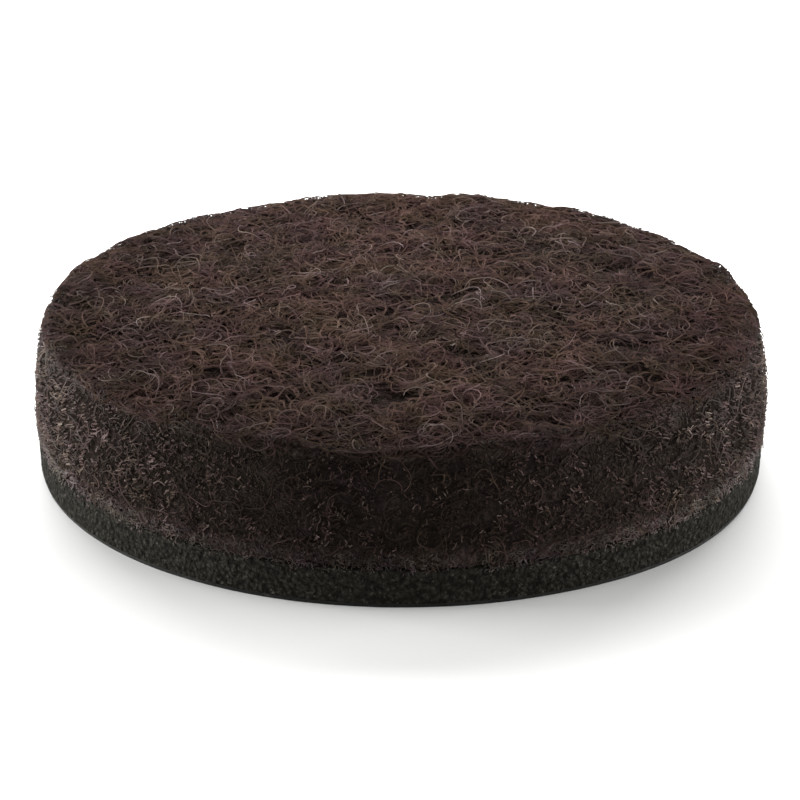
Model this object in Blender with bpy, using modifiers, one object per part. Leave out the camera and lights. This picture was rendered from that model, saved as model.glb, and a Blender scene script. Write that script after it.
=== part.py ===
"""Round self-adhesive felt pad for the foot of a chair or table leg.

The pad is three bonded layers, one object each: a thick disc of needle-punched felt, a disc of soft foam
that takes up an uneven leg end, and a film of pressure-sensitive adhesive. It lies on its adhesive face
with the felt up. Metres, +Z up, origin at the centre of the base.
"""

import math

import bpy

# Felt disc
FELT_RADIUS = 0.0125  # at the belly of the wall, its widest place
FELT_THICKNESS = 0.0040
FELT_BELLY_HEIGHT = 0.0010  # belly over the felt's lower face
FELT_BOW_RADIUS = 0.0160  # the wall bulges along an arc of this radius, seen in section
FELT_EDGE_RADIUS = 0.00035  # soft upper edge

# Foam backing
FOAM_THICKNESS = 0.00105
FOAM_INSET = 0.00004  # foam behind the felt's belly, at the foam's upper face
FOAM_TAPER = 0.00005  # how much the die draws the foam in towards its lower face

# Adhesive film
FILM_THICKNESS = 0.00015
FILM_INSET = 0.00003  # film behind the foam's lower edge

BOND_LINE = 0.00005  # glue between two layers, left open so that they stay separate solids

# Fineness of the turned surfaces
TURN_STEPS = 96
WALL_SPANS = 8
EDGE_SPANS = 5
MERGE_DISTANCE = 1e-7
SHARP_ANGLE = math.radians(35)

# Linear colour and roughness of each layer
FELT_FINISH = ((0.060, 0.042, 0.032), 0.95)
FOAM_FINISH = ((0.026, 0.025, 0.021), 0.85)
FILM_FINISH = ((0.012, 0.012, 0.011), 0.45)

foam_radius = FELT_RADIUS - FOAM_INSET
foam_foot_radius = foam_radius - FOAM_TAPER
film_radius = foam_foot_radius - FILM_INSET

foam_base = FILM_THICKNESS + BOND_LINE
felt_base = foam_base + FOAM_THICKNESS + BOND_LINE


def empty_scene():
    """Removes every object, so that the pad is alone in the file."""
    for thing in list(bpy.data.objects):
        bpy.data.objects.remove(thing, do_unlink=True)


def finish(name, colour, roughness):
    """A plain Principled material."""
    material = bpy.data.materials.new(name)
    material.use_nodes = True
    shader = material.node_tree.nodes["Principled BSDF"]
    shader.inputs["Base Color"].default_value = (*colour, 1.0)
    shader.inputs["Roughness"].default_value = roughness
    shader.inputs["Metallic"].default_value = 0.0
    return material


def arc(centre_radius, centre_height, radius, start, end, spans):
    """Points along an arc in the (radius, height) plane; angles are measured up from +X."""
    angles = [start + (end - start) * step / spans for step in range(spans + 1)]
    return [
        (centre_radius + radius * math.cos(angle), centre_height + radius * math.sin(angle))
        for angle in angles
    ]


def felt_profile():
    """Section of the felt from the top's centre, down the bowed wall, to the underside's centre.

    The wall is an arc about a point level with the belly. The edge is a smaller arc that leaves it without
    a corner and ends level with the top, which fixes the angle where the two meet.
    """
    bow_centre = FELT_RADIUS - FELT_BOW_RADIUS
    reach = FELT_THICKNESS - FELT_BELLY_HEIGHT - FELT_EDGE_RADIUS
    meeting = math.asin(reach / (FELT_BOW_RADIUS - FELT_EDGE_RADIUS))
    foot = -math.asin(FELT_BELLY_HEIGHT / FELT_BOW_RADIUS)
    edge_centre = bow_centre + (FELT_BOW_RADIUS - FELT_EDGE_RADIUS) * math.cos(meeting)
    edge_height = FELT_THICKNESS - FELT_EDGE_RADIUS
    edge = arc(edge_centre, edge_height, FELT_EDGE_RADIUS, math.pi / 2, meeting, EDGE_SPANS)
    wall = arc(bow_centre, FELT_BELLY_HEIGHT, FELT_BOW_RADIUS, meeting, foot, WALL_SPANS)
    return [(0.0, FELT_THICKNESS), *edge, *wall[1:], (0.0, 0.0)]


def disc_profile(top_radius, foot_radius, thickness):
    """Section of a plain disc whose wall may taper, from the top's centre to the underside's."""
    return [(0.0, thickness), (top_radius, thickness), (foot_radius, 0.0), (0.0, 0.0)]


def turned(name, profile, base, material, group, carrier):
    """Turns a section about Z into one closed disc, at the height of its base, in the pad's group."""
    points = [(radius, 0.0, height) for radius, height in profile]
    section = bpy.data.meshes.new(name + "_section")
    section.from_pydata(points, [(i, i + 1) for i in range(len(points) - 1)], [])
    blank = bpy.data.objects.new(name + "_blank", section)
    group.objects.link(blank)
    screw = blank.modifiers.new("turn", "SCREW")
    screw.axis = "Z"
    screw.steps = TURN_STEPS
    screw.render_steps = TURN_STEPS
    screw.use_merge_vertices = True
    screw.merge_threshold = MERGE_DISTANCE

    graph = bpy.context.evaluated_depsgraph_get()
    mesh = bpy.data.meshes.new_from_object(blank.evaluated_get(graph))
    bpy.data.objects.remove(blank, do_unlink=True)
    bpy.data.meshes.remove(section)
    mesh.name = name
    mesh.shade_smooth()
    mesh.set_sharp_from_angle(angle=SHARP_ANGLE)
    mesh.materials.clear()
    mesh.materials.append(material)

    disc = bpy.data.objects.new(name, mesh)
    group.objects.link(disc)
    disc.parent = carrier
    disc.location.z = base
    return disc


def build_pad():
    """Stacks the three layers under one empty."""
    empty_scene()
    group = bpy.data.collections.new("felt_furniture_pad")
    bpy.context.scene.collection.children.link(group)
    pad = bpy.data.objects.new("pad", None)
    group.objects.link(pad)

    film = disc_profile(film_radius, film_radius, FILM_THICKNESS)
    turned("adhesive_film", film, 0.0, finish("adhesive", *FILM_FINISH), group, pad)

    foam = disc_profile(foam_radius, foam_foot_radius, FOAM_THICKNESS)
    turned("foam_backing", foam, foam_base, finish("foam", *FOAM_FINISH), group, pad)

    turned("felt_disc", felt_profile(), felt_base, finish("felt", *FELT_FINISH), group, pad)


build_pad()
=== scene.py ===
"""Looks of a round felt furniture pad: a matted felt block on a foam backing with an adhesive underside.

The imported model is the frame. Each layer is a closed shell worked out from the section of its own CAD solid,
and the felt's nap is thousands of closed tubes laid on that same section. Metres, +Z up.
"""

import logging
import math
from collections.abc import Callable
from dataclasses import dataclass, field
from enum import Enum

import bpy
import numpy as np
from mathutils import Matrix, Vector


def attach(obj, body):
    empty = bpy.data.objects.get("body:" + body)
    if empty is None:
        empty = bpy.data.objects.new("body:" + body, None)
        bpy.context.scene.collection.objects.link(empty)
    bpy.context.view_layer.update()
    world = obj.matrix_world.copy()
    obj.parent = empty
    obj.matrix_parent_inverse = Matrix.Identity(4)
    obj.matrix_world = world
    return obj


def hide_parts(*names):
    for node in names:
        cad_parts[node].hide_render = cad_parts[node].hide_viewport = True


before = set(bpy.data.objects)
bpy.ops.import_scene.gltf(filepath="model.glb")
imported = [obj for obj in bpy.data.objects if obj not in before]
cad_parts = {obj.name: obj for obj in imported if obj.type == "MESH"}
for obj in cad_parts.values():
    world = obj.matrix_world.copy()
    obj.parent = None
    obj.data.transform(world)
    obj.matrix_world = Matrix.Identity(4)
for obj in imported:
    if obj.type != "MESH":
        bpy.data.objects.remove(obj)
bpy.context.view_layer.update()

Array = np.ndarray
Colour = tuple[float, float, float]
Point = tuple[float, float, float]
Span = tuple[float, float]

MM = 0.001
TAU = 2 * math.pi
UNIT: Span = (0.0, 1.0)
TINY = 1e-12  # the least length that is divided by
BODY = "root"

log = logging.getLogger("felt_pad")


class Cap(Enum):
    """How a shell's flat end is closed."""

    GRID = "a grid of quads, where the end is seen"
    FAN = "triangles to the centre, where a neighbour hides it"


class Layer(Enum):
    """The CAD nodes that the looks replace."""

    FELT = "felt_disc"
    FOAM = "foam_backing"
    FILM = "adhesive_film"


def mm(first: float, second: float) -> Span:
    """Two lengths given in millimetres."""
    return first * MM, second * MM


def unit(vectors: Array) -> Array:
    """Vectors brought to length 1 along the last axis."""
    return vectors / np.maximum(np.linalg.norm(vectors, axis=-1, keepdims=True), TINY)


def corners_of(mesh: bpy.types.Mesh) -> Array:
    """The vertices of a mesh, one row each."""
    values = np.zeros(len(mesh.vertices) * 3)
    mesh.vertices.foreach_get("co", values)
    return values.reshape(-1, 3)


# Noise and sections


LATTICE_SIDE = 48  # corners along an edge of the block of random values, which repeats
LATTICE_SHIFT = 1000.37  # blocks from the lattice's corner to the origin, so that no place is negative


def lattice_noise(points: Array, cell: float, seed: int) -> Array:
    """Smooth noise from -1 to 1.

    Each lattice corner holds a random value, and a point takes the eight values round it, mixed along each
    axis by the smoothstep 3t^2 - 2t^3 of its place in the cell.

    Args:
        points: Places, one row each.
        cell: Lattice spacing.
        seed: Chooses the values.

    Returns:
        One value for each place.
    """
    table = np.random.default_rng(seed).uniform(-1, 1, (LATTICE_SIDE, LATTICE_SIDE, LATTICE_SIDE))
    scaled = points / cell + LATTICE_SIDE * LATTICE_SHIFT
    corner = np.floor(scaled).astype(np.int64)
    part = scaled - corner
    mix = part * part * (3 - 2 * part)
    low = corner % LATTICE_SIDE
    high = (corner + 1) % LATTICE_SIDE
    total = np.zeros(len(points))
    for pick in np.ndindex(2, 2, 2):
        index = [np.where(pick[axis], high[:, axis], low[:, axis]) for axis in range(3)]
        share = [mix[:, axis] if pick[axis] else 1 - mix[:, axis] for axis in range(3)]
        total += table[index[0], index[1], index[2]] * share[0] * share[1] * share[2]
    return total


def layered_noise(points: Array, octaves: tuple[Span, ...], seed: int) -> Array:
    """A sum of noises.

    Args:
        points: Places, one row each.
        octaves: Cell and height of each noise.
        seed: Chooses the values, the next noise taking the next seed.

    Returns:
        One height for each place.
    """
    return sum(
        height * lattice_noise(points, cell, seed + number)
        for number, (cell, height) in enumerate(octaves)
    )


# Bearing and width of each swell in degrees, and its height as a share of the radius
OUT_OF_ROUND = ((40.0, 24.0, 0.014), (-42.0, 24.0, 0.014), (128.0, 30.0, 0.003))


def roundness(angle: Array) -> Array:
    """How much wider than round the pad is at each angle, as a share of its radius.

    A soft disc isn't cut quite round, so its outline has a few broad, low swells: each has a bearing and a
    width in degrees and a height, and falls off as the exponential of minus the squared distance in widths.

    Args:
        angle: Angle about the axis, of any shape.

    Returns:
        The share at each angle.
    """
    total = np.zeros_like(angle)
    for bearing, width, height in OUT_OF_ROUND:
        away = (np.degrees(angle) - bearing + 180) % 360 - 180
        total = total + height * np.exp(-((away / width) ** 2))
    return total


RING_DECIMALS = 6  # to which the corners of one ring agree, in metres
CENTRE_REACH = 0.1 * MM  # corners nearer to the axis stand for an end's centre, not for a ring
LEVEL = 0.0001 * MM  # heights that differ by less are one level
EASE = 0.12 * MM  # over twice this length the normal turns at a corner of a section


@dataclass(frozen=True)
class Section:
    """Half section of a turned layer, as a run from the top's centre over the wall to the underside's centre.

    A place on the layer is then a distance along the run and an angle about the axis.
    """

    radius: Array
    height: Array

    @classmethod
    def of_node(cls, layer: Layer) -> "Section":
        """Reads the section off a CAD node, whose corners lie on rings about the axis.

        Args:
            layer: The node.

        Returns:
            The rings' radii and heights, in order of their bearing from the middle of the axis.
        """
        corners = corners_of(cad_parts[layer.value].data)
        rings = np.stack([np.hypot(corners[:, 0], corners[:, 1]), corners[:, 2]], 1)
        rings = np.unique(np.round(rings, RING_DECIMALS), axis=0)
        rings = rings[rings[:, 0] > CENTRE_REACH]
        low, high = rings[:, 1].min(), rings[:, 1].max()
        order = np.argsort(-np.arctan2(rings[:, 1] - (low + high) / 2, rings[:, 0]))
        radius = np.concatenate([[0], rings[order, 0], [0]])
        height = np.concatenate([[high], rings[order, 1], [low]])
        return cls(radius, height)

    @property
    def run(self) -> Array:
        """Distance of each point along the section."""
        steps = np.hypot(np.diff(self.radius), np.diff(self.height))
        return np.concatenate([[0], np.cumsum(steps)])

    @property
    def top_rim(self) -> float:
        """Distance at which the flat top ends."""
        return float(self.run[1])

    @property
    def foot_rim(self) -> float:
        """Distance at which the flat underside begins."""
        return float(self.run[-2])

    @property
    def length(self) -> float:
        """Distance of the underside's centre."""
        return float(self.run[-1])

    def grown(self, up: float, down: float) -> "Section":
        """The section with its top raised and its underside lowered.

        Args:
            up: Rise of the top.
            down: Drop of the underside.

        Returns:
            The changed section.
        """
        top = self.height >= self.height.max() - LEVEL
        foot = self.height <= self.height.min() + LEVEL
        height = np.where(top, self.height + up, np.where(foot, self.height - down, self.height))
        return Section(self.radius, height)

    def skirted(self, drop: float) -> "Section":
        """The section with its wall carried straight down past the foot, in place of the underside.

        Args:
            drop: Length of the added piece.

        Returns:
            The open section.
        """
        height = np.append(self.height[:-1], self.height[-2] - drop)
        return Section(np.append(self.radius[:-1], self.radius[-2]), height)

    def place(self, distance: Array, angle: Array, offset: Array) -> tuple[Array, Array]:
        """Points over the layer's surface.

        The radius and height are read off the run, and the normal is the run's direction turned outwards,
        eased over a short stretch so that it doesn't jump at a corner.

        Args:
            distance: Distance along the run, of any shape.
            angle: Angle about the axis, of the same shape.
            offset: Height over the surface, of the same shape.

        Returns:
            The points and the unit normals, each with one more axis of length 3.
        """
        run = self.run
        radius = np.interp(distance, run, self.radius) * (1 + roundness(angle))
        height = np.interp(distance, run, self.height)
        ahead = np.clip(distance + EASE, 0, run[-1])
        behind = np.clip(distance - EASE, 0, run[-1])
        along_r = np.interp(ahead, run, self.radius) - np.interp(behind, run, self.radius)
        along_z = np.interp(ahead, run, self.height) - np.interp(behind, run, self.height)
        size = np.maximum(np.hypot(along_r, along_z), TINY)
        out_r, out_z = -along_z / size, along_r / size
        normal = np.stack([out_r * np.cos(angle), out_r * np.sin(angle), out_z], -1)
        base = np.stack([radius * np.cos(angle), radius * np.sin(angle), height], -1)
        return base + normal * offset[..., None], normal


# Meshes


NO_TRIANGLES = np.zeros((0, 3), int)


def mesh_of(name: str, points: Array, quads: Array, triangles: Array) -> bpy.types.Mesh:
    """Puts arrays of points and faces into a smooth-shaded mesh.

    Args:
        name: The mesh's name.
        points: One row for each vertex.
        quads: Four vertex numbers a row.
        triangles: Three vertex numbers a row.

    Returns:
        The mesh.
    """
    mesh = bpy.data.meshes.new(name)
    corners = np.concatenate([quads.ravel(), triangles.ravel()]).astype(np.int32)
    starts = np.concatenate(
        [np.arange(len(quads)) * 4, quads.size + np.arange(len(triangles)) * 3]
    ).astype(np.int32)
    mesh.vertices.add(len(points))
    mesh.vertices.foreach_set("co", points.astype(np.float32).ravel())
    mesh.loops.add(len(corners))
    mesh.loops.foreach_set("vertex_index", corners)
    mesh.polygons.add(len(starts))
    mesh.polygons.foreach_set("loop_start", starts)
    mesh.update(calc_edges=True)
    mesh.shade_smooth()
    return mesh


def add_piece(name: str, mesh: bpy.types.Mesh, material: bpy.types.Material) -> bpy.types.Object:
    """Shows a mesh as a piece that rides with the pad.

    Args:
        name: The piece's name.
        mesh: Its mesh, in place.
        material: Its finish.

    Returns:
        The object, at the origin.
    """
    mesh.materials.append(material)
    piece = bpy.data.objects.new(name, mesh)
    bpy.context.scene.collection.objects.link(piece)
    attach(piece, BODY)
    mesh.calc_loop_triangles()
    log.info("%s: %d triangles", name, len(mesh.loop_triangles))
    return piece


def disc_grid(cells: int) -> tuple[Array, Array, Array]:
    """A square grid bent into a unit disc, ring by ring.

    A grid point's larger coordinate becomes its radius, and the ratio of the smaller to the larger, times a
    quarter turn, its angle, so each square ring of points becomes a round one with even steps.

    Args:
        cells: Cells along a side.

    Returns:
        Radii and angles of the points, and the point numbers as a square array.
    """
    line = np.linspace(-1, 1, cells + 1)
    across, along = np.meshgrid(line, line, indexing="ij")
    wide = np.abs(across) >= np.abs(along)
    larger = np.where(wide, across, along)
    smaller = np.where(wide, along, across)
    ratio = smaller / np.where(larger == 0, 1, larger)
    angle = np.where(wide, ratio, 2 - ratio) * math.pi / 4
    angle = np.where(larger < 0, angle + math.pi, angle)
    numbers = np.arange((cells + 1) ** 2).reshape(cells + 1, cells + 1)
    return np.abs(larger).ravel(), angle.ravel(), numbers


@dataclass(frozen=True)
class Shell:
    """A closed skin over a section, made of two ends and a wall of rows and columns."""

    section: Section
    cells: int  # cells across an end, so four times as many columns round the wall
    rows: int
    top: Cap
    foot: Cap
    relief: Callable[[Array, Array], Array]  # height over the surface, from a place and its distance

    def lay(self, distance: Array, angle: Array) -> Array:
        """Points of the skin: the section's surface moved along its normal by the relief."""
        still, _ = self.section.place(distance, angle, np.zeros_like(distance))
        return self.section.place(distance, angle, self.relief(still, distance))[0]

    def mesh(self, name: str) -> bpy.types.Mesh:
        """Builds the skin.

        The wall's rows run from the top's rim to the foot's rim. Where an end is a grid, its border is the
        wall's outer row. Faces of the foot are turned over, so that they look down.

        Args:
            name: The mesh's name.

        Returns:
            The closed mesh.
        """
        radius, angle, numbers = disc_grid(self.cells)
        border = np.concatenate(
            [numbers[-1, :-1], numbers[:0:-1, -1], numbers[0, :0:-1], numbers[:-1, 0]]
        )
        squares = np.stack(
            [numbers[:-1, :-1], numbers[1:, :-1], numbers[1:, 1:], numbers[:-1, 1:]], -1
        ).reshape(-1, 4)
        columns = len(border)
        turn = angle[border]
        first, last = self.section.top_rim, self.section.foot_rim
        points: list[Array] = []
        quads: list[Array] = []
        fans: list[Array] = []
        count = 0

        def add(distance: Array, at: Array) -> int:
            """Adds points and returns the number of the first."""
            nonlocal count
            points.append(self.lay(distance, at))
            count += len(distance)
            return count - len(distance)

        if self.top is Cap.GRID:
            start = add(radius * first, angle)
            quads.append(squares + start)
            upper = border + start
        else:
            upper = add(np.full(columns, first), turn) + np.arange(columns)
            centre = add(np.zeros(1), np.zeros(1))
            fans.append(np.stack([upper, np.roll(upper, -1), np.full(columns, centre)], 1))

        if self.foot is Cap.GRID:
            start = add(self.section.length - radius * (self.section.length - last), angle)
            quads.append(squares[:, ::-1] + start)
            foot = border + start
        else:
            foot = add(np.full(columns, last), turn) + np.arange(columns)
            centre = add(np.full(1, self.section.length), np.zeros(1))
            fans.append(np.stack([np.roll(foot, -1), foot, np.full(columns, centre)], 1))

        inner = np.linspace(first, last, self.rows + 1)[1:-1]
        start = add(np.repeat(inner, columns), np.tile(turn, len(inner)))
        between = start + np.arange(len(inner) * columns).reshape(-1, columns)
        rings = np.vstack([upper, between, foot])
        after = np.roll(rings, -1, axis=1)
        wall = np.stack([rings[:-1], rings[1:], after[1:], after[:-1]], -1).reshape(-1, 4)
        quads.append(wall)
        triangles = np.vstack(fans) if fans else NO_TRIANGLES
        return mesh_of(name, np.vstack(points), np.vstack(quads), triangles)


# Fibres


WAVE_RANGE: Span = (0.7, 1.5)  # a fibre's own wavelength, as a share of the one that is asked for


@dataclass(frozen=True)
class Strand:
    """Sizes of one sort of fibre. Pairs are the least and greatest value."""

    count: int
    length: Span
    width: Span
    curl: Span  # radius of the curl that a fibre keeps
    segments: int
    tint: Span  # where on the fibre colours it lies
    crimps: tuple[Span, ...] = ()  # wavelengths and spreads, in radians per metre, of bends that come and go
    sides: int = 3

    def walks(self, rng: np.random.Generator) -> tuple[Array, Array, Array]:
        """Flat curly paths about the origin.

        The bend at each step is a steady part plus sines of the length run. Its running sum is the heading,
        and the running sum of the heading's cosine and sine is the path, moved so that its mean is zero.

        Args:
            rng: Source of the random draws.

        Returns:
            Paths of shape (count, segments + 1, 2), the share of the length at each point, and each length.
        """
        size = (self.count, 1)
        length = rng.uniform(*self.length, size)
        share = np.linspace(0, 1, self.segments + 1)[None, :]
        bend = np.broadcast_to(
            rng.choice([-1.0, 1.0], size) / rng.uniform(*self.curl, size), (self.count, self.segments + 1)
        )
        for wavelength, spread in self.crimps:
            waves = length / (wavelength * rng.uniform(*WAVE_RANGE, size))
            phase = rng.uniform(0, TAU, size)
            bend = bend + spread * rng.normal(0, 1, size) * np.sin(TAU * share * waves + phase)
        step = length / self.segments
        middle = (bend[:, 1:] + bend[:, :-1]) / 2
        heading = rng.uniform(0, TAU, size) + np.cumsum(middle * step, axis=1)
        moves = step[..., None] * np.stack([np.cos(heading), np.sin(heading)], -1)
        path = np.concatenate([np.zeros((self.count, 1, 2)), np.cumsum(moves, axis=1)], axis=1)
        return path - path.mean(axis=1, keepdims=True), share, length


def tubes(name: str, path: Array, normal: Array, thickness: Array, sides: int,
          soften: float) -> bpy.types.Mesh:
    """Closed tubes along paths.

    A ring of points stands square to the path at each of its points: the surface normal, made square to the
    path, is one axis of the ring, and its cross product with the path the other. The shading normal is the
    ring's direction blended with the surface normal, as light that goes through a fibre evens out its sides.

    Args:
        name: The mesh's name.
        path: Middle lines, of shape (tubes, points, 3).
        normal: A direction that is never along the path, of the same shape.
        thickness: Radius at each point, of shape (tubes, points).
        sides: Sides of a ring.
        soften: Share of the surface normal in the shading normal.

    Returns:
        The mesh, each tube closed at both ends.
    """
    many, long, _ = path.shape
    ahead = unit(np.gradient(path, axis=1))
    side = unit(np.cross(ahead, normal))
    up = np.cross(side, ahead)
    turn = TAU * np.arange(sides) / sides + math.pi / 2
    ring = (
        np.cos(turn)[None, None, :, None] * side[:, :, None, :]
        + np.sin(turn)[None, None, :, None] * up[:, :, None, :]
    )
    points = path[:, :, None, :] + thickness[:, :, None, None] * ring
    number = np.arange(many * long * sides).reshape(many, long, sides)
    beside = np.roll(number, -1, axis=2)
    quads = np.stack([number[:, :-1], number[:, 1:], beside[:, 1:], beside[:, :-1]], -1).reshape(-1, 4)
    ends = np.concatenate([number[:, 0, :], number[:, -1, ::-1]])
    mesh = mesh_of(name, points.reshape(-1, 3), quads, ends[:, :3])
    shading = unit((1 - soften) * ring + soften * normal[:, :, None, :])
    mesh.normals_split_custom_set_from_vertices(shading.reshape(-1, 3))
    return mesh


def paint(mesh: bpy.types.Mesh, name: str, values: Array) -> None:
    """Keeps one number for each vertex, for the material to read."""
    layer = mesh.attributes.new(name, "FLOAT", "POINT")
    layer.data.foreach_set("value", values.astype(np.float32).ravel())


STRIP_MARGIN = 0.08  # free edge of a tube's rectangle on the map, as a share of it
END_WIDE = 0.6  # width of an end's triangle on the map, as a share of a segment
END_HIGH = 0.3  # its height, as a share of the rectangle
END_STEP = 0.4  # how much higher the second end's triangle lies, as a share of the rectangle


def strip_map(mesh: bpy.types.Mesh, many: int, long: int, sides: int) -> None:
    """Lays each tube out flat in a small rectangle of its own, as the mesh's UV map.

    Rectangles fill a square in rows. A tube's length runs across its rectangle and its sides run up it. An
    end's triangle fills the corner strip past the last segment.

    Args:
        mesh: Tubes made by tubes().
        many: Number of tubes.
        long: Points along a tube.
        sides: Sides of a tube.
    """
    across = max(1, round(math.sqrt(many * sides / long)))
    rows = math.ceil(many / across)
    left = (np.arange(many) % across) / across
    low = (np.arange(many) // across) / rows
    wide, high = 1 / across, 1 / rows
    inside = 1 - 2 * STRIP_MARGIN
    u = left[:, None, None] + wide * (STRIP_MARGIN + inside * np.arange(long)[None, :, None] / long)
    v = low[:, None, None] + high * (STRIP_MARGIN + inside * np.arange(sides + 1)[None, None, :] / sides)
    here = np.stack(np.broadcast_arrays(u, v), -1)
    quads = np.stack(
        [here[:, :-1, :-1], here[:, 1:, :-1], here[:, 1:, 1:], here[:, :-1, 1:]], -2
    ).reshape(-1, 2)
    spare = here[:, -1, 0, :]
    right = np.array([END_WIDE * wide / long, 0.0])
    up = np.array([0.0, high])
    first = np.stack([spare, spare + right, spare + END_HIGH * up], 1)
    last = first + END_STEP * up
    corners = np.concatenate([quads, first.reshape(-1, 2), last.reshape(-1, 2)])
    layer = mesh.uv_layers.new(name="OFBake")
    layer.data.foreach_set("uv", corners.astype(np.float32).ravel())


RUST_POWER = 2  # the greater, the rarer are rusty fibres


def dress_fibres(mesh: bpy.types.Mesh, rng: np.random.Generator, strand: Strand, tint: Array,
                 shade: Array) -> None:
    """Paints fibres with their tint, their painted shade and their share of rust, and lays out their map.

    Args:
        mesh: The fibres.
        rng: Source of the random draws.
        strand: Sizes of the fibres.
        tint: Tint at each point of each fibre, on some layers lowered by painted shade.
        shade: Painted light and shade, as a brightness at each point of each fibre.
    """
    whole = (*tint.shape, strand.sides)
    paint(mesh, "tint", np.broadcast_to(tint[..., None], whole))
    paint(mesh, "shade", np.broadcast_to(shade[..., None], whole))
    rust = rng.uniform(0, 1, (strand.count, 1, 1)) ** RUST_POWER
    paint(mesh, "rust", np.broadcast_to(rust, whole))
    strip_map(mesh, strand.count, strand.segments + 1, strand.sides)


# Materials


class Sheet:
    """Adds nodes to one node tree."""

    def __init__(self, tree: bpy.types.NodeTree) -> None:
        """Keeps the tree."""
        self.tree = tree

    def node(self, kind: str, **settings: object) -> bpy.types.Node:
        """Adds a node and sets its properties.

        Args:
            kind: The node's type name, without a leading ShaderNode.
            **settings: Properties of the node.

        Returns:
            The node.
        """
        made = self.tree.nodes.new(kind if kind.startswith("Node") else "ShaderNode" + kind)
        for name, value in settings.items():
            setattr(made, name, value)
        return made

    def plug(self, socket: bpy.types.NodeSocket, value: object) -> None:
        """Links an input from a socket or sets its value, where a colour leaves out its alpha."""
        if isinstance(value, bpy.types.NodeSocket):
            self.tree.links.new(value, socket)
        elif socket.type == "RGBA":
            socket.default_value = (*value, 1.0)
        else:
            socket.default_value = value

    def feed(self, node: bpy.types.Node, **inputs: object) -> bpy.types.Node:
        """Sets or links a node's inputs, an underscore standing for a space in a socket's name.

        Args:
            node: The node.
            **inputs: A socket to link from, or a value.

        Returns:
            The node.
        """
        for name, value in inputs.items():
            self.plug(node.inputs[name.replace("_", " ")], value)
        return node

    def attribute(self, name: str) -> bpy.types.NodeSocket:
        """A number that the mesh keeps for each vertex."""
        return self.node("Attribute", attribute_name=name).outputs["Fac"]

    def noise(self, vector: bpy.types.NodeSocket, scale: bpy.types.NodeSocket, detail: float,
              roughness: float, distortion: float = 0.0) -> bpy.types.NodeSocket:
        """The value of a noise texture, about 0 to 1."""
        made = self.node("TexNoise")
        self.feed(made, Vector=vector, Scale=scale, Detail=detail, Roughness=roughness, Distortion=distortion)
        return made.outputs["Fac"]

    def spread(self, value: bpy.types.NodeSocket, source: Span, target: Span = UNIT) -> bpy.types.NodeSocket:
        """Maps a value from one range onto another, held at the ends."""
        made = self.node("MapRange", clamp=True)
        self.feed(made, Value=value, From_Min=source[0], From_Max=source[1])
        self.feed(made, To_Min=target[0], To_Max=target[1])
        return made.outputs["Result"]

    def mixed(self, share: object, first: object, second: object, blend: str = "MIX") -> bpy.types.NodeSocket:
        """Mixes two colours by a share, which is a value or a socket."""
        made = self.node("Mix", data_type="RGBA", blend_type=blend, clamp_factor=True)
        for number, value in ((0, share), (6, first), (7, second)):  # where a Mix node keeps its colours
            self.plug(made.inputs[number], value)
        return made.outputs[2]

    def scaled(self, colour: bpy.types.NodeSocket, factor: bpy.types.NodeSocket) -> bpy.types.NodeSocket:
        """A colour times a value."""
        made = self.node("VectorMath", operation="SCALE")
        self.plug(made.inputs[0], colour)
        self.plug(made.inputs["Scale"], factor)
        return made.outputs[0]

    def maths(self, operation: str, first: object, second: object) -> bpy.types.NodeSocket:
        """One operation on two values or sockets."""
        made = self.node("Math", operation=operation)
        self.plug(made.inputs[0], first)
        self.plug(made.inputs[1], second)
        return made.outputs[0]

    def weighed(self, first: bpy.types.NodeSocket, first_share: float, second: bpy.types.NodeSocket,
                second_share: float) -> bpy.types.NodeSocket:
        """The sum of two values, each times its share."""
        return self.maths("ADD", self.maths("MULTIPLY", first, first_share),
                          self.maths("MULTIPLY", second, second_share))


OpenGroup = tuple[Sheet, bpy.types.Node, bpy.types.Node]
OpenMaterial = tuple[bpy.types.Material, Sheet, bpy.types.Node]


def open_group(name: str, inputs: dict[str, float], outputs: tuple[str, ...]) -> OpenGroup:
    """Starts a shader group that reads a Vector and some values and puts out values.

    Args:
        name: The group's name.
        inputs: Value inputs and their defaults.
        outputs: Value outputs.

    Returns:
        The sheet to draw on, the group's input node and its output node.
    """
    tree = bpy.data.node_groups.new(name, "ShaderNodeTree")
    tree.interface.new_socket("Vector", in_out="INPUT", socket_type="NodeSocketVector")
    for socket, value in inputs.items():
        made = tree.interface.new_socket(socket, in_out="INPUT", socket_type="NodeSocketFloat")
        made.default_value = value
    for socket in outputs:
        tree.interface.new_socket(socket, in_out="OUTPUT", socket_type="NodeSocketFloat")
    sheet = Sheet(tree)
    return sheet, sheet.node("NodeGroupInput"), sheet.node("NodeGroupOutput")


@dataclass(frozen=True)
class Blotch:
    """One noise of the carded patches."""

    finer: float  # how many times smaller than the group's size
    detail: float
    edges: Span  # noise values between which the blotch goes from 0 to 1


BLOTCHES = {
    "Broad": Blotch(1.0, 2.0, (0.36, 0.66)),
    "Narrow": Blotch(4.2, 3.0, (0.34, 0.68)),
    "Hue": Blotch(2.7, 2.0, (0.36, 0.64)),
}


def patch_group() -> bpy.types.NodeTree:
    """Blotches where the wool was carded unevenly: noises of different sizes, for shade and for hue."""
    sheet, source, result = open_group("carded_patches", {"Size": 3 * MM}, tuple(BLOTCHES))
    inverse = sheet.maths("DIVIDE", 1.0, source.outputs["Size"])
    for name, blotch in BLOTCHES.items():
        scale = sheet.maths("MULTIPLY", inverse, blotch.finer)
        noise = sheet.noise(source.outputs["Vector"], scale, blotch.detail, roughness=0.55, distortion=0.6)
        sheet.feed(result, **{name: sheet.spread(noise, blotch.edges)})
    return sheet.tree


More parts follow.
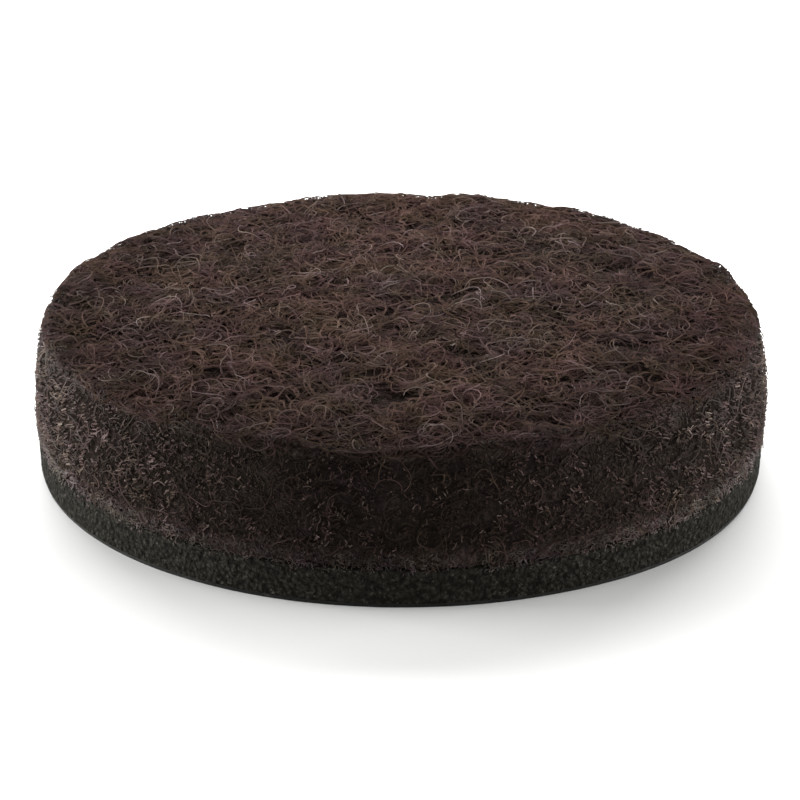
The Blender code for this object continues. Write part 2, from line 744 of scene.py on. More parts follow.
def grain_group() -> bpy.types.NodeTree:
    """Fine grain: a height for bump, and the rare grains that are painted pale as glints."""
    sheet, source, result = open_group("fine_grain", {"Size": 0.1 * MM}, ("Height", "Glints"))
    vector = source.outputs["Vector"]
    inverse = sheet.maths("DIVIDE", 1.0, source.outputs["Size"])
    fine = sheet.noise(vector, inverse, detail=4.0, roughness=0.62, distortion=0.3)
    cells = sheet.node("TexVoronoi", feature="F1")
    sheet.feed(cells, Vector=vector, Scale=sheet.maths("MULTIPLY", inverse, 0.8))
    dome = sheet.spread(cells.outputs["Distance"], (0.0, 0.75), (1.0, 0.0))
    rare = sheet.noise(vector, sheet.maths("MULTIPLY", inverse, 0.9), detail=2.0, roughness=0.7)
    sheet.feed(result, Height=sheet.weighed(fine, 0.65, dome, 0.35), Glints=sheet.spread(rare, (0.58, 0.74)))
    return sheet.tree


def strand_group() -> bpy.types.NodeTree:
    """Matted strands: level lines of two smooth noises, which are curly lines that cross each other.

    A noise times a number of levels, put through a triangle wave, peaks along its level lines. The peaks,
    cut off low down, are strands that run side by side and turn together.
    """
    sheet, source, result = open_group("matted_strands", {"Size": 0.8 * MM, "Levels": 15.0}, ("Height",))
    inverse = sheet.maths("DIVIDE", 1.0, source.outputs["Size"])
    heights = []
    for finer, shift, share in ((1.0, 0.0, 1.0), (1.37, 7.3, 0.8)):
        moved = sheet.node("VectorMath", operation="ADD")
        sheet.plug(moved.inputs[0], source.outputs["Vector"])
        sheet.plug(moved.inputs[1], (shift, shift, shift))
        scale = sheet.maths("MULTIPLY", inverse, finer)
        noise = sheet.noise(moved.outputs[0], scale, detail=1.0, roughness=0.4, distortion=0.8)
        peaks = sheet.maths("PINGPONG", sheet.maths("MULTIPLY", noise, source.outputs["Levels"]), 0.5)
        heights.append(sheet.maths("MULTIPLY", sheet.spread(peaks, (0.12, 0.5)), share))
    sheet.feed(result, Height=sheet.maths("MAXIMUM", *heights))
    return sheet.tree


@dataclass
class Effects:
    """Node groups that several finishes share, each built once."""

    patches: bpy.types.NodeTree = field(default_factory=patch_group)
    grain: bpy.types.NodeTree = field(default_factory=grain_group)
    strands: bpy.types.NodeTree = field(default_factory=strand_group)

    @staticmethod
    def place(sheet: Sheet, tree: bpy.types.NodeTree, where: bpy.types.NodeSocket,
              size: float) -> bpy.types.Node:
        """Puts a group into a material, at a place on the object and with a size of its own."""
        made = sheet.node("Group")
        made.node_tree = tree
        return sheet.feed(made, Vector=where, Size=size)


# The two hues that patches of the wool swing between
OLIVE: Colour = (0.99, 1.0, 0.90)
PLUM: Colour = (1.06, 0.97, 1.09)


def dyed(sheet: Sheet, colour: bpy.types.NodeSocket, patches: bpy.types.Node) -> bpy.types.NodeSocket:
    """A colour tinged by the hue of the patch that it lies in."""
    return sheet.mixed(1.0, colour, sheet.mixed(patches.outputs["Hue"], OLIVE, PLUM), "MULTIPLY")


def start_material(name: str, roughness: float, specular: float) -> OpenMaterial:
    """A Principled material with its constants set on the shader.

    Args:
        name: The material's name.
        roughness: Roughness.
        specular: Specular level.

    Returns:
        The material, the sheet to draw on and the shader.
    """
    material = bpy.data.materials.new(name)
    material.use_nodes = True
    sheet = Sheet(material.node_tree)
    shader = material.node_tree.nodes["Principled BSDF"]
    sheet.feed(shader, Roughness=roughness, Specular_IOR_Level=specular)
    return material, sheet, shader


@dataclass(frozen=True)
class FibreFinish:
    """Single wool and polyester fibres: a colour for each fibre, tinged by the patch that it lies in."""

    name: str
    dark: Colour
    middle: Colour
    pale: Colour
    rust: Colour
    roughness: float
    specular: float
    rusty: float = 1.0  # share of the rust that the patches and the fibres ask for
    patch_rust: float = 0.55  # share of the rust that the patch brings
    own_rust: float = 0.45  # share of the rust that the fibre brings
    middle_tint: float = 0.55  # tint at which a fibre has the middle colour
    patch: float = 3.2 * MM  # size of the patches
    patch_shade: Span = (0.62, 1.25)  # brightness of the darkest and the palest patch
    strand: float = 0.0  # size of the curls of finer strands drawn along wide fibres, or none
    strand_shade: Span = (0.6, 1.3)  # brightness between the drawn strands and along them

    def material(self, effects: Effects) -> bpy.types.Material:
        """Builds the material.

        Args:
            effects: Shared groups.

        Returns:
            The material, which reads the mesh's tint, rust and shade attributes; the shade attribute is
            painted shade.
        """
        made, sheet, shader = start_material(self.name, self.roughness, self.specular)
        ramp = sheet.node("ValToRGB")
        stops = ramp.color_ramp.elements
        stops[0].color = (*self.dark, 1)
        stops[1].color = (*self.pale, 1)
        stops.new(self.middle_tint).color = (*self.middle, 1)
        sheet.feed(ramp, Fac=sheet.attribute("tint"))
        where = sheet.node("TexCoord").outputs["Object"]
        patches = effects.place(sheet, effects.patches, where, self.patch)
        rust = sheet.weighed(patches.outputs["Broad"], self.patch_rust * self.rusty,
                             sheet.attribute("rust"), self.own_rust * self.rusty)
        colour = dyed(sheet, sheet.mixed(rust, ramp.outputs["Color"], self.rust), patches)
        # The mesh's shade attribute is painted shade; the patches' shade is the wool's own uneven tone
        shade = sheet.maths("MULTIPLY", sheet.attribute("shade"),
                            sheet.spread(patches.outputs["Narrow"], UNIT, self.patch_shade))
        if self.strand:
            strands = effects.place(sheet, effects.strands, where, self.strand)
            shade = sheet.maths("MULTIPLY", shade,
                                sheet.spread(strands.outputs["Height"], UNIT, self.strand_shade))
        sheet.feed(shader, Base_Color=sheet.scaled(colour, shade))
        return made


@dataclass(frozen=True)
class GroundFinish:
    """The matted ground of a layer: two colours in patches, with grain in its colour and its bump, and painted
    glints on rare grains.
    """

    name: str
    deep: Colour
    light: Colour
    # Painted highlight: the pale colour laid on the rare grains as glints
    glint: Colour
    grain: float  # size of the grain
    patch: float  # size of the patches
    relief: float  # depth of the bump
    roughness: float
    specular: float
    glint_share: float
    grain_range: Span = (0.3, 0.75)  # heights between which the deep colour turns into the light one
    patch_share: Span = (0.35, 1.0)  # how far it turns in the darkest and in the palest patch
    strand: float = 0.0  # size of the strands' curls, or none
    strand_height: float = 0.6  # share of the height that is the strands' own
    grain_height: float = 0.4  # share of the height that is left to the grain between strands
    shadow: Colour = (0.0090, 0.0076, 0.0063)  # painted shade colour, taken where the mesh's shade attribute is 0

    def material(self, effects: Effects) -> bpy.types.Material:
        """Builds the material.

        Args:
            effects: Shared groups.

        Returns:
            The material, drawn on the object's coordinates. With strands it reads the mesh's shade too, and
            turns towards the painted shade colour by it.
        """
        made, sheet, shader = start_material(self.name, self.roughness, self.specular)
        where = sheet.node("TexCoord").outputs["Object"]
        patches = effects.place(sheet, effects.patches, where, self.patch)
        grain = effects.place(sheet, effects.grain, where, self.grain)
        height = grain.outputs["Height"]
        if self.strand:
            strands = effects.place(sheet, effects.strands, where, self.strand)
            height = sheet.weighed(height, self.grain_height, strands.outputs["Height"], self.strand_height)
        share = sheet.maths("MULTIPLY", sheet.spread(patches.outputs["Narrow"], UNIT, self.patch_share),
                            sheet.spread(height, self.grain_range))
        ground = sheet.mixed(share, self.deep, self.light)
        # Painted glints on the rare grains
        glints = sheet.maths("MULTIPLY", grain.outputs["Glints"], self.glint_share)
        colour = sheet.mixed(glints, ground, self.glint)
        if self.strand:
            # Painted shade: where the mesh's shade attribute is low, the ground turns to the shadow colour
            colour = sheet.mixed(sheet.attribute("shade"), self.shadow, dyed(sheet, colour, patches))
        sheet.feed(shader, Base_Color=colour)
        bump = sheet.node("Bump")
        sheet.feed(bump, Height=height, Distance=self.relief, Strength=1.0)
        sheet.feed(shader, Normal=bump.outputs["Normal"])
        return made


# The pad's finishes


FELT_GROUND = GroundFinish(
    "felt_ground", deep=(0.0340, 0.0258, 0.0222), light=(0.078, 0.0580, 0.0518), glint=(0.125, 0.107, 0.100),
    grain=0.07 * MM, patch=2.6 * MM, relief=0.10 * MM, roughness=0.8, specular=0.0, glint_share=0.5,
    strand=0.8 * MM,
)
# Painted shade: the upper fibres' colours with a darker middle, pale and rust, for fibres lying lower in the
# mat
SHADED_UNDER_FIBRE = FibreFinish(
    "felt_under_fibre", dark=(0.031, 0.0230, 0.0200), middle=(0.0720, 0.0525, 0.0460),
    pale=(0.1000, 0.0760, 0.0680), rust=(0.0830, 0.0520, 0.0395), roughness=0.8, specular=0.0,
    strand=0.8 * MM,
)
UPPER_FIBRE = FibreFinish(
    "felt_upper_fibre", dark=(0.031, 0.0230, 0.0200), middle=(0.0790, 0.0577, 0.0520),
    pale=(0.170, 0.1400, 0.1300), rust=(0.098, 0.0600, 0.0470), roughness=0.8, specular=0.0,
)
CUT_FIBRE = FibreFinish(
    "felt_cut_fibre", dark=(0.0150, 0.0108, 0.0086), middle=(0.0510, 0.0338, 0.0275),
    pale=(0.134, 0.106, 0.096), rust=(0.050, 0.0300, 0.0225), roughness=0.55, specular=0.06, rusty=0.45,
)
FRAYED_FIBRE = FibreFinish(
    "felt_frayed_fibre", dark=(0.048, 0.0395, 0.0350), middle=(0.067, 0.0562, 0.0516),
    pale=(0.150, 0.129, 0.120), rust=(0.057, 0.0445, 0.0385), roughness=0.5, specular=0.10, rusty=0.6,
)
FOAM = GroundFinish(
    "foam", deep=(0.0066, 0.0061, 0.0048), light=(0.0440, 0.0401, 0.0318), glint=(0.130, 0.119, 0.100),
    grain=0.14 * MM, patch=0.6 * MM, relief=0.30 * MM, roughness=0.9, specular=0.05, glint_share=0.4,
)
ADHESIVE = GroundFinish(
    "adhesive", deep=(0.004, 0.004, 0.0035), light=(0.016, 0.0156, 0.0140), glint=(0.045, 0.043, 0.038),
    grain=0.45 * MM, patch=2.4 * MM, relief=0.04 * MM, roughness=0.42, specular=0.22, glint_share=0.5,
)


# The felt


@dataclass(frozen=True)
class FeltForm:
    """The soft shape that the felt's ground and its fibres share: lumps, a rolled-off edge and pits."""

    section: Section
    lumps: tuple[Span, ...] = (mm(4.2, 0.07), mm(1.3, 0.055))
    lump_seed: int = 11
    wall_share: float = 0.85  # of the lumps that the die leaves on the wall
    loft: float = 0.13 * MM  # how much higher than the die's cut the top springs back
    rim_sag: float = 0.22 * MM  # how far the top rolls off to its edge
    sag_mean: float = 0.75  # share of it that is there all round
    sag_swing: float = 0.5  # share of it that comes and goes with the noise
    sag_waves: tuple[Span, ...] = ((2.6 * MM, 1.0), (0.9 * MM, 0.6))
    sag_seed: int = 31
    crown_reach: float = 2.8 * MM  # how far in from the upper edge the top rolls off
    rim_reach: float = 0.7 * MM  # how far down the wall that goes on, and the top's ways turn into the wall's
    shoulder: float = 0.06 * MM  # how much more the upper edge is rounded off than the die's sharp cut
    shoulder_reach: float = 0.6 * MM  # how far the rounding spreads up and down
    shoulder_drop: float = 0.25 * MM  # how far past the rim it is rounded off most
    bond_reach: float = 0.4 * MM  # height over the foot in which the bond holds the felt flat
    bond_share: float = 0.3  # of the swell that is left at the foot
    openings: tuple[Span, ...] = ((0.85 * MM, 1.0), (0.42 * MM, 0.5))
    opening_seed: int = 51
    opening_mean: float = 0.5  # how open the mat is where the noise is 0
    opening_swing: float = 0.75  # how much more open it is where the noise is 1
    skirt: float = 0.5 * MM  # how far the wall is carried on, for fibres that hang past the foot
    slope_step: float = 0.1 * MM  # over which the slope of the swell is measured

    def swell(self, points: Array, distance: Array) -> Array:
        """Height of the soft unevenness that the ground and the fibres share.

        Two sizes of lump, less on the wall, and a slow wave that rounds the upper edge off unevenly. It fades
        towards the foot, where the felt is bonded.

        Args:
            points: Places on the section's surface.
            distance: Their distance along the section.

        Returns:
            Height over the surface.
        """
        rim, foot = self.section.top_rim, self.section.foot_rim
        on_wall = np.clip((distance - rim) / self.rim_reach, 0, 1)
        lumps = layered_noise(points, self.lumps, self.lump_seed) * (1 - on_wall * (1 - self.wall_share))
        uneven = self.sag_mean + self.sag_swing * layered_noise(points, self.sag_waves, self.sag_seed)
        reach = np.where(distance < rim, self.crown_reach, self.rim_reach)
        near = np.exp(-(((distance - rim) / reach) ** 2))
        corner = np.exp(-(((distance - rim - self.shoulder_drop) / self.shoulder_reach) ** 2))
        edge = self.rim_sag * near * uneven + self.shoulder * corner
        bonded = np.clip((foot - distance) / self.bond_reach, 0, 1)
        left = self.bond_share + (1 - self.bond_share) * bonded
        return (lumps - edge + self.loft * (1 - on_wall)) * left

    def pits(self, points: Array) -> Array:
        """How far the mat opens, from 0 to 1, where the needles have parted it."""
        noise = layered_noise(points, self.openings, self.opening_seed)
        return np.clip(self.opening_mean + self.opening_swing * noise, 0, 1)

    def over(self, distance: Array, angle: Array, offset: Array) -> tuple[Array, Array]:
        """Points at a height over the swell, and normals that lean with the swell's slope along the section.

        Args:
            distance: Distance along the section.
            angle: Angle about the axis.
            offset: Height over the swell.

        Returns:
            The points and normals.
        """
        skirt = self.section.skirted(self.skirt)
        surfaces: list[Array] = []
        heights: list[Array] = []
        for place in (distance, distance + self.slope_step):
            surface, _ = skirt.place(place, angle, np.zeros_like(distance))
            surfaces.append(surface)
            heights.append(self.swell(surface.reshape(-1, 3), place.ravel()).reshape(distance.shape))
        points, normal = skirt.place(distance, angle, heights[0] + offset)
        slope = (heights[1] - heights[0]) / self.slope_step
        along = (surfaces[1] - surfaces[0]) / self.slope_step
        return points, unit(normal - along * slope[..., None])


@dataclass(frozen=True)
class FeltGround:
    """The matted ground of the felt, sunk under the fibres, with the pits that the needles left."""

    form: FeltForm
    cells: int = 170
    rows: int = 36
    top_sink: float = 0.12 * MM  # the ground lies this far under the swell, and the nap fills the rest
    wall_sink: float = 0.05 * MM
    pit_depth: float = 0.19 * MM
    wall_pit_depth: float = 0.12 * MM
    rim_closed: float = 0.6  # how much shallower the pits are along the upper edge
    lit_drop: float = 0.2 * MM  # how far down from the CAD top the ground keeps its full brightness, before the painted shade of the wall
    dark_reach: float = 0.3 * MM  # depth over which painted shade makes it darker below that
    wall_dark: float = 0.24  # brightness of the wall's ground: partly the darker cut face, partly painted shade
    foot_shade: float = 0.85  # brightness of the paler ground behind the frayed foot
    foot_band: Span = mm(0.45, 0.765)  # heights between which that ground fades out

    def relief(self, points: Array, distance: Array) -> Array:
        """Height of the matted ground: the swell, sunk under the nap, deeper in the pits of the top.

        Args:
            points: Places on the section's surface.
            distance: Their distance along the section.

        Returns:
            Height over the surface, nothing on the underside.
        """
        edge, reach = self.form.section.top_rim, self.form.rim_reach
        on_wall = np.clip((distance - (edge - reach)) / reach, 0, 1)
        sink = self.top_sink * (1 - on_wall) + self.wall_sink * on_wall
        depth = self.pit_depth * (1 - on_wall) + self.wall_pit_depth * on_wall
        closed = 1 - self.rim_closed * np.exp(-(((distance - edge) / reach) ** 2))
        height = self.form.swell(points, distance) - sink - depth * closed * self.form.pits(points)
        return np.where(distance > self.form.section.foot_rim, 0.0, height)

    def build(self, effects: Effects) -> bpy.types.Object:
        """Builds the ground, which stands for the CAD node, darker on the wall than at its top and foot:
        partly the darker cut face, partly painted shade.
        """
        section = self.form.section
        mesh = Shell(section, self.cells, self.rows, Cap.GRID, Cap.FAN, self.relief).mesh("felt_ground")
        # Painted shade down the wall, partly the darker cut face, with the paler ground at the foot
        base, top = section.height.min(), section.height.max() - self.lit_drop
        levels = [base + self.foot_band[0], base + self.foot_band[1], top - self.dark_reach, top]
        shades = [self.foot_shade, self.wall_dark, self.wall_dark, 1.0]
        paint(mesh, "shade", np.interp(corners_of(mesh)[:, 2], levels, shades))
        piece = add_piece("felt_ground", mesh, FELT_GROUND.material(effects))
        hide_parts(Layer.FELT.value)
        return piece


@dataclass(frozen=True)
class NapLayer:
    """One layer of the nap: a piece of fibres that lie at about one height."""

    name: str
    finish: FibreFinish
    strand: Strand
    middle: Span  # height of a fibre's middle over the swell
    tilt: float  # spread of the slope of the plane that a fibre lies in
    seed: int


@dataclass(frozen=True)
class Nap:
    """Long curly fibres that lie on the felt's top in all directions, and hang over its edge a little."""

    form: FeltForm
    spill: float = 0.15 * MM  # how far past the rim the middle of a fibre may lie
    thin_band: float = 0.7 * MM  # width of the band inside the rim where fibres grow fewer
    thin_score: float = 0.25  # how much less they are wanted at the rim
    hang: Span = mm(0.8, 2.4)  # how far down the wall a fibre may hang
    wave: float = 0.05 * MM  # spread of the wave that runs up and down along a fibre
    wavelength: float = 0.9 * MM
    end_drop: float = 0.10 * MM  # how far the two ends of a fibre go under
    end_power: float = 0.5  # the less, the nearer to its ends a fibre goes under
    end_width: float = 0.5  # width of the ends, as a share of the fibre's own
    taper_power: float = 0.4  # the less, the nearer to its ends a fibre narrows
    ceiling: float = 0.28 * MM  # no fibre stands higher over the swell
    rim_ceiling: float = 0.025 * MM  # the same at the rim and past it
    ceiling_band: Span = mm(-1.3, -0.2)  # where the one turns into the other, as distances from the rim
    painted_shade_depth: float = 0.45 * MM  # over which fibres under the surface are darkened by painted shade
    deepest: float = 0.35  # share of its tint that a fibre keeps under the painted shade, however deep it lies
    tint_power: float = 2.6  # the greater, the rarer are pale fibres
    # Distances from the rim, and how bright fibres are painted there: painted shade, darker towards and past
    # the rim
    painted_rim_shade: tuple[Span, ...] = ((-4.5 * MM, 1.0), (-0.4 * MM, 0.76), (0.7 * MM, 0.42))
    soften: float = 0.78  # how far light that goes through the fibres evens out their shading

    def spots(self, rng: np.random.Generator, count: int) -> tuple[Array, Array]:
        """Places on top, crowded where the mat is closed and fewer along the rim.

        Twice as many places as are wanted are drawn evenly over the top, and those with the least sum of
        pit depth, nearness to the rim and a random number are kept.

        Args:
            rng: Source of the random draws.
            count: Number of places.

        Returns:
            Their two plane coordinates, each of shape (count, 1).
        """
        drawn = 2 * count
        rim = self.form.section.top_rim
        away = (rim + self.spill) * np.sqrt(rng.uniform(0, 1, drawn))
        bearing = rng.uniform(0, TAU, drawn)
        spot = np.stack([away * np.cos(bearing), away * np.sin(bearing)], 1)
        level = np.full((drawn, 1), self.form.section.height.max())
        thin = np.clip((away - rim) / self.thin_band + 1, 0, 1)
        score = self.form.pits(np.hstack([spot, level])) + rng.uniform(0, 1, drawn) + self.thin_score * thin
        kept = spot[np.argsort(score)[:count]]
        return kept[:, :1], kept[:, 1:]

    def build(self, layer: NapLayer, material: bpy.types.Material) -> bpy.types.Object:
        """Builds one layer.

        A path's plane coordinates are a distance along the section and an angle, so a fibre that passes the
        edge bends down the wall. Each fibre lies in a plane of its own that is tilted at random, so its curls
        stand up on one side and go under on the other, and a slow wave runs along it.

        Args:
            layer: Sizes, height and seed of the layer.
            material: Its finish.

        Returns:
            The piece.
        """
        rng = np.random.default_rng(layer.seed)
        strand = layer.strand
        path, share, length = strand.walks(rng)
        size = (strand.count, 1)
        rim = self.form.section.top_rim
        lean = rng.uniform(0, TAU, size)
        slope = rng.normal(0, layer.tilt, size)
        climb = slope * (path[..., 0] * np.cos(lean) + path[..., 1] * np.sin(lean))
        across, along = self.spots(rng, strand.count)
        across, along = path[..., 0] + across, path[..., 1] + along
        angle = np.arctan2(along, across)
        distance = np.hypot(across, along)
        room = rng.uniform(*self.hang, size)
        past = np.maximum(distance - rim, 0)
        distance = np.where(past > 0, rim + room * (1 - np.exp(-past / room)), distance)

        waves = length / (self.wavelength * rng.uniform(*WAVE_RANGE, size))
        wave = self.wave * rng.normal(0, 1, size) * np.sin(TAU * share * waves + rng.uniform(0, TAU, size))
        middling = np.sin(math.pi * share)
        sunk = self.end_drop * (1 - middling ** self.end_power)
        offset = rng.uniform(*layer.middle, size) + climb + wave - sunk
        ceiling = np.interp(distance - rim, self.ceiling_band, [self.ceiling, self.rim_ceiling])
        offset = ceiling * np.tanh(offset / ceiling)
        points, normal = self.form.over(distance, angle, offset)
        taper = self.end_width + (1 - self.end_width) * middling ** self.taper_power
        thickness = rng.uniform(*strand.width, size) / 2 * taper
        mesh = tubes(layer.name, points, normal, thickness, strand.sides, self.soften)

        # Painted shade: a fibre's tint is darkened where it lies under the surface
        depth = np.clip(1 + offset / self.painted_shade_depth, self.deepest, 1)
        least, most = strand.tint
        tint = (least + (most - least) * rng.uniform(0, 1, size) ** self.tint_power) * depth
        # Painted shade along the rim, where the top rolls off and fibres hang down the wall
        places, shades = zip(*self.painted_rim_shade)
        dress_fibres(mesh, rng, strand, tint, np.interp(distance - rim, places, shades))
        return add_piece(layer.name, mesh, material)


@dataclass(frozen=True)
class WallLayer:
    """One piece of cut fibres on the wall."""

    name: str
    finish: FibreFinish
    strand: Strand
    rise: Span  # height of a cut end over the swell
    band: Span  # where the fibres lie, as shares of the wall from its upper edge to its foot
    seed: int


@dataclass(frozen=True)
class CutWall:
    """Fibres that come out of the felt's wall, where the die cut them."""

    form: FeltForm
    root: float = 0.11 * MM  # how far under the swell a fibre starts
    rise_power: float = 0.7  # less than 1, so a fibre rises fast and then slowly
    edge_rise: float = 0.3  # share of its height that a fibre has at the upper edge
    over_edge: float = 0.5 * MM  # how far past the upper edge it may lie
    overhang: float = 0.18 * MM  # how far past the foot it may hang
    crowding: tuple[Span, ...] = ((0.9 * MM, 0.18), (0.38 * MM, 0.5), (0.22 * MM, 0.7))
    crowd_seed: int = 71
    crowd_mean: float = 0.58  # crowding where the noise is 0
    crowd_swing: float = 0.9  # how much greater it is where the noise is 1
    crowd_least: float = 0.15
    tuft: float = 0.07 * MM  # how much higher the crowded ends stand
    tuft_level: float = 0.6  # crowding at which they stand no higher
    painted_shade_band: float = 0.9 * MM  # height of the band of painted shade under the upper edge
    collar_crowd: float = 0.7  # share of the crowding, and so of the pale ends, left at the upper edge by the painted shade
    band_painted_shade: float = 0.8  # share of the brightness that the painted shade leaves there
    tint_power: float = 1.15  # the greater, the rarer are pale ends
    painted_shade_least: float = 0.58  # painted brightness of ends that aren't crowded at all, as shade between the tufts
    painted_light_swing: float = 0.6  # how much brighter the crowded ends are painted, as light on the tufts
    soften: float = 0.78  # as for the nap

    def build(self, layer: WallLayer, material: bpy.types.Material) -> bpy.types.Object:
        """Builds one piece.

        The wall is unrolled, so a path's plane coordinates are an arc length round the pad and a distance
        along the section. A fibre starts under the ground and rises to its cut end. A noise crowds the ends
        into tufts, which stand higher; their ends are painted brighter as light, and the ends between them
        darker as painted shade.

        Args:
            layer: Sizes, place and seed of the piece.
            material: Its finish.

        Returns:
            The piece.
        """
        rng = np.random.default_rng(layer.seed)
        strand = layer.strand
        path, share, _ = strand.walks(rng)
        size = (strand.count, 1)
        section = self.form.section
        rim, foot = section.top_rim, section.foot_rim
        down = rim + (foot - rim) * rng.uniform(*layer.band, size) + path[..., 1]
        angle = rng.uniform(0, TAU, size) + path[..., 0] / section.radius.max()
        distance = np.clip(down, rim - self.over_edge, foot + self.overhang)
        base, _ = section.place(distance[:, 0], angle[:, 0], np.zeros(strand.count))
        crowd = self.crowd_mean + self.crowd_swing * layered_noise(base, self.crowding, self.crowd_seed)
        crowd = np.clip(crowd, self.crowd_least, 1.0)[:, None]

        rising = np.interp(down, [rim, rim + self.form.rim_reach], [self.edge_rise, 1.0])
        height = rng.uniform(*layer.rise, size) * rising + self.tuft * (crowd - self.tuft_level)
        offset = (height + self.root) * share ** self.rise_power - self.root
        points, normal = self.form.over(distance, angle, offset)
        thickness = np.broadcast_to(rng.uniform(*strand.width, size) / 2, distance.shape)
        mesh = tubes(layer.name, points, normal, thickness, strand.sides, self.soften)

        # Painted shade: ends are darker and less pale in the band under the upper edge
        painted_shade_band = [rim, rim + self.painted_shade_band]
        crowd = crowd * np.interp(down.mean(axis=1, keepdims=True), painted_shade_band, [self.collar_crowd, 1.0])
        least, most = strand.tint
        tint = least + (most - least) * rng.uniform(0, 1, size) ** self.tint_power * crowd
        shade = np.interp(distance, painted_shade_band, [self.band_painted_shade, 1.0])
        # Painted light and shade: crowded ends brighter, the ends between them darker
        shade = shade * (self.painted_shade_least + self.painted_light_swing * crowd)
        dress_fibres(mesh, rng, strand, np.broadcast_to(tint, distance.shape), shade)
        return add_piece(layer.name, mesh, material)


# Wavelengths and spreads of the bends that long fibres share
CRIMPS: tuple[Span, ...] = ((1.6 * MM, 1200.0), (0.75 * MM, 1700.0))

NAP_LAYERS = (
    NapLayer(
        "nap_low", SHADED_UNDER_FIBRE, middle=mm(-0.18, -0.06), tilt=0.12, seed=101,
        strand=Strand(2400, mm(1.4, 2.8), mm(0.070, 0.10), mm(0.4, 1.8), 10, (0.1, 0.9), CRIMPS),
    ),
    NapLayer(
        "nap_middle", UPPER_FIBRE, middle=mm(-0.10, 0.0), tilt=0.35, seed=102,
        strand=Strand(2280, mm(1.5, 2.8), mm(0.038, 0.056), mm(0.28, 1.0), 14, (0.10, 0.8), CRIMPS),
    ),
    NapLayer(
        "nap_top", UPPER_FIBRE, middle=mm(-0.07, 0.05), tilt=0.75, seed=103,
        strand=Strand(2280, mm(1.3, 3.3), mm(0.032, 0.045), mm(0.26, 1.0), 14, (0.20, 1.0), CRIMPS),
    ),
)
WALL_LAYERS = (
    WallLayer(
        "cut_stubs", CUT_FIBRE, rise=mm(-0.04, 0.025), band=(-0.08, 0.99), seed=104,
        strand=Strand(13000, mm(0.03, 0.07), mm(0.036, 0.062), mm(0.1, 0.4), 1, (0.0, 1.0)),
    ),
    WallLayer(
        "cut_ends", CUT_FIBRE, rise=mm(-0.03, 0.04), band=(-0.06, 0.99), seed=107,
        strand=Strand(4600, mm(0.10, 0.26), mm(0.030, 0.046), mm(0.1, 0.4), 2, (0.0, 1.0)),
    ),
    WallLayer(
        "wall_curls", CUT_FIBRE, rise=mm(0.0, 0.06), band=(-0.05, 0.95), seed=105,
        strand=Strand(420, mm(0.6, 1.8), mm(0.03, 0.042), mm(0.2, 0.8), 10, (0.15, 0.6), CRIMPS),
    ),
    WallLayer(
        "frayed_foot", FRAYED_FIBRE, rise=mm(-0.03, 0.02), band=(0.88, 1.03), seed=106,
        strand=Strand(5000, mm(0.07, 0.24), mm(0.025, 0.038), mm(0.15, 0.6), 2, (0.0, 0.9)),
    ),
)


@dataclass(frozen=True)
class FeltDisc:
    """The felt block: its ground, the nap on its top and the cut fibres of its wall and foot."""

    effects: Effects

    def build(self) -> None:
        """Builds the ground, the layers of nap and the fibres of the wall, each finish made once."""
        form = FeltForm(Section.of_node(Layer.FELT))
        FeltGround(form).build(self.effects)
        finishes = dict.fromkeys(layer.finish for layer in (*NAP_LAYERS, *WALL_LAYERS))
        looks = {finish: finish.material(self.effects) for finish in finishes}
        for layer in NAP_LAYERS:
            Nap(form).build(layer, looks[layer.finish])
        for layer in WALL_LAYERS:
            CutWall(form).build(layer, looks[layer.finish])


# The backing


@dataclass
class FoamBacking:
    """The foam layer: fine open cells on its cut wall."""

    effects: Effects
    cells: int = 300
    rows: int = 18
    seed: int = 51
    spread: float = 0.06 * MM  # how far it fills the glue lines
    pores: tuple[Span, ...] = (mm(1.6, 0.012), mm(0.3, 0.016), mm(0.15, 0.026))
    edge_fade: float = 0.15 * MM  # distance from a sharp edge at which the cells have their full depth
    edge_share: float = 0.25  # of that depth, which is left at the edge
    section: Section = field(init=False)

    def __post_init__(self) -> None:
        """Reads the CAD section and lets it into the glue lines."""
        self.section = Section.of_node(Layer.FOAM).grown(self.spread, self.spread)

    def relief(self, points: Array, distance: Array) -> Array:
        """Height of the cut foam: three sizes of cell, fading at the sharp upper and lower edges."""
        edge = np.minimum(distance - self.section.top_rim, self.section.foot_rim - distance)
        fade = np.clip(edge / self.edge_fade, 0, 1)
        return layered_noise(points, self.pores, self.seed) * (self.edge_share + (1 - self.edge_share) * fade)

    def build(self) -> bpy.types.Object:
        """Builds the layer, which stands for the CAD node."""
        shell = Shell(self.section, self.cells, self.rows, Cap.FAN, Cap.FAN, self.relief)
        piece = add_piece("foam_layer", shell.mesh("foam_layer"), FOAM.material(self.effects))
        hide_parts(Layer.FOAM.value)
        return piece


@dataclass(frozen=True)
class AdhesiveFilm:
    """The adhesive film: black and a little glossy, with the faint ripple of a coated face."""

    effects: Effects
    cells: int = 80
    rows: int = 4
    seed: int = 71
    ripple: tuple[Span, ...] = (mm(2.2, 0.006), mm(0.7, 0.004))

    def relief(self, points: Array, distance: Array) -> Array:
        """Height of the film's face: a slow ripple, always under the CAD surface so that it lies on z = 0."""
        return layered_noise(points, self.ripple, self.seed) - sum(height for _, height in self.ripple)

    def build(self) -> bpy.types.Object:
        """Builds the film, which stands for the CAD node."""
        shell = Shell(Section.of_node(Layer.FILM), self.cells, self.rows, Cap.FAN, Cap.GRID, self.relief)
        mesh = shell.mesh("adhesive_face")
        piece = add_piece("adhesive_face", mesh, ADHESIVE.material(self.effects))
        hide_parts(Layer.FILM.value)
        return piece


# Stage, light and camera


